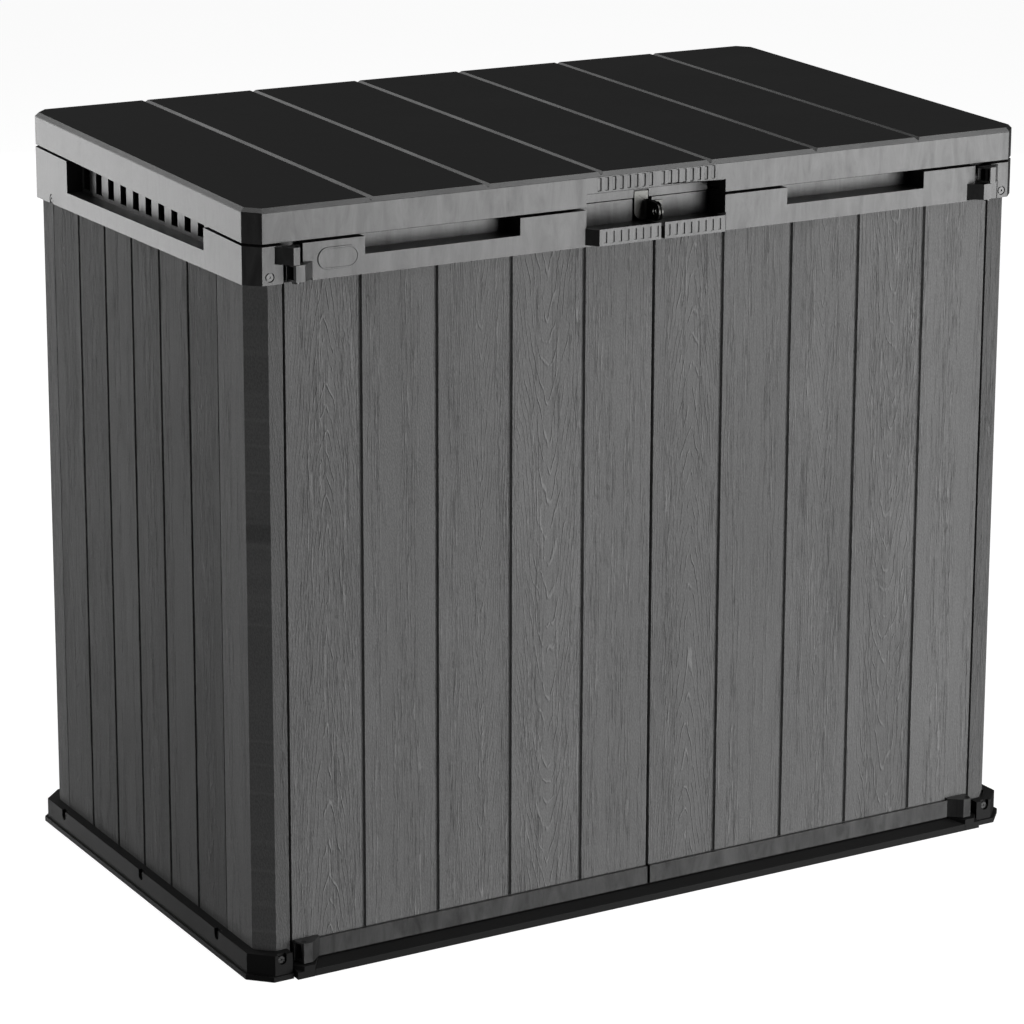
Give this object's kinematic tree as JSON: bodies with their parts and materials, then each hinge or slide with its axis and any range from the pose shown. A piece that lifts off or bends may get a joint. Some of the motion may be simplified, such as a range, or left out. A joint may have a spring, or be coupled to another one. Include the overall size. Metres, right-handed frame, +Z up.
{
  "type": "deck storage box",
  "caption": "Plank-textured resin deck storage box with a sloping gas-strut lid, front doors hung on pins, side vents and a padlock hasp.",
  "frame": {"origin": "on the ground under the middle of the bounding box", "axes": "+X to the right seen from the front, -Y to the front where the doors are, +Z up"},
  "size_m": [1.41, 0.833, 1.2046],
  "materials": {
    "plank_plastic": "wood-grain embossed charcoal",
    "trim_plastic": "satin, finely mottled grey",
    "lid_plastic": "fine-grained black",
    "base_plastic": "satin black",
    "latch_steel": "plain zinc-plated",
    "bracket_steel": "black powder coat",
    "fixings": "black coated",
    "strut_tube": "satin black paint",
    "strut_rod": "hard chrome"
  },
  "bodies": {
    "cabinet": {"floor_base": "base_plastic", "entry_ramp": "base_plastic", "left_front_post": "plank_plastic", "right_front_post": "plank_plastic", "left_rear_post": "plank_plastic", "right_rear_post": "plank_plastic", "left_wall": "plank_plastic", "right_wall": "plank_plastic", "back_wall": "plank_plastic", "left_header": "trim_plastic", "right_header": "trim_plastic", "rear_header": "trim_plastic", "door_hinge_pins": "fixings", "lid_hinge_pins": "fixings", "header_screws": "fixings", "base_screws": "fixings", "strut_wall_brackets": "bracket_steel", "strut_bracket_screws": "fixings"},
    "lid": {"lid_panel": "lid_plastic", "lid_skirt": "trim_plastic", "lid_liner": "lid_plastic", "lid_liner_screws": "fixings", "lid_hasp": "latch_steel", "hasp_screws": "fixings", "strut_lid_brackets": "bracket_steel"},
    "left_door": {"left_door_panel": "plank_plastic", "left_door_top_rail": "trim_plastic", "left_door_bottom_rail": "trim_plastic", "left_door_screws": "fixings", "left_door_badge": "trim_plastic"},
    "right_door": {"right_door_panel": "plank_plastic", "right_door_top_rail": "trim_plastic", "right_door_bottom_rail": "trim_plastic", "right_door_screws": "fixings", "door_staple": "latch_steel", "staple_screws": "fixings"},
    "left_strut_barrel": {"left_strut_tube": "strut_tube", "left_strut_gland": "strut_tube", "left_strut_eye": "bracket_steel"},
    "left_strut_piston_rod": {"left_strut_rod": "strut_rod", "left_strut_piston": "strut_tube", "left_strut_head": "bracket_steel"},
    "right_strut_barrel": {"right_strut_tube": "strut_tube", "right_strut_gland": "strut_tube", "right_strut_eye": "bracket_steel"},
    "right_strut_piston_rod": {"right_strut_rod": "strut_rod", "right_strut_piston": "strut_tube", "right_strut_head": "bracket_steel"}
  },
  "joints": [
    {"name": "lid_hinge", "type": "hinge", "parent": "cabinet", "child": "lid", "pos_m": [0, 0.4085, 1.151], "axis": [-1, 0, 0], "range_deg": [0, 70]},
    {"name": "left_door_hinge", "type": "hinge", "parent": "cabinet", "child": "left_door", "pos_m": [-0.62, -0.402, 0.55], "axis": [0, 0, -1], "range_deg": [0, 115]},
    {"name": "right_door_hinge", "type": "hinge", "parent": "cabinet", "child": "right_door", "pos_m": [0.62, -0.402, 0.55], "axis": [0, 0, 1], "range_deg": [0, 115]},
    {"name": "left_strut_pivot", "type": "hinge", "parent": "cabinet", "child": "left_strut_barrel", "pos_m": [-0.64, 0.35, 0.94], "axis": [-1, 0, 0], "range_deg": [0, 13.12]},
    {"name": "left_strut_slide", "type": "slide", "parent": "left_strut_barrel", "child": "left_strut_piston_rod", "axis": [0, -0.204, 0.979], "range_m": [0, 0.10103]},
    {"name": "right_strut_pivot", "type": "hinge", "parent": "cabinet", "child": "right_strut_barrel", "pos_m": [0.64, 0.35, 0.94], "axis": [-1, 0, 0], "range_deg": [0, 13.12]},
    {"name": "right_strut_slide", "type": "slide", "parent": "right_strut_barrel", "child": "right_strut_piston_rod", "axis": [0, -0.204, 0.979], "range_m": [0, 0.10103]}
  ],
  "couplings": [
    {"joint": "left_strut_pivot", "follows": "lid_hinge", "ratio": 0.1873},
    {"joint": "left_strut_slide", "follows": "lid_hinge", "m_per_rad": 0.08269},
    {"joint": "right_strut_pivot", "follows": "lid_hinge", "ratio": 0.1873},
    {"joint": "right_strut_slide", "follows": "lid_hinge", "m_per_rad": 0.08269}
  ]
}
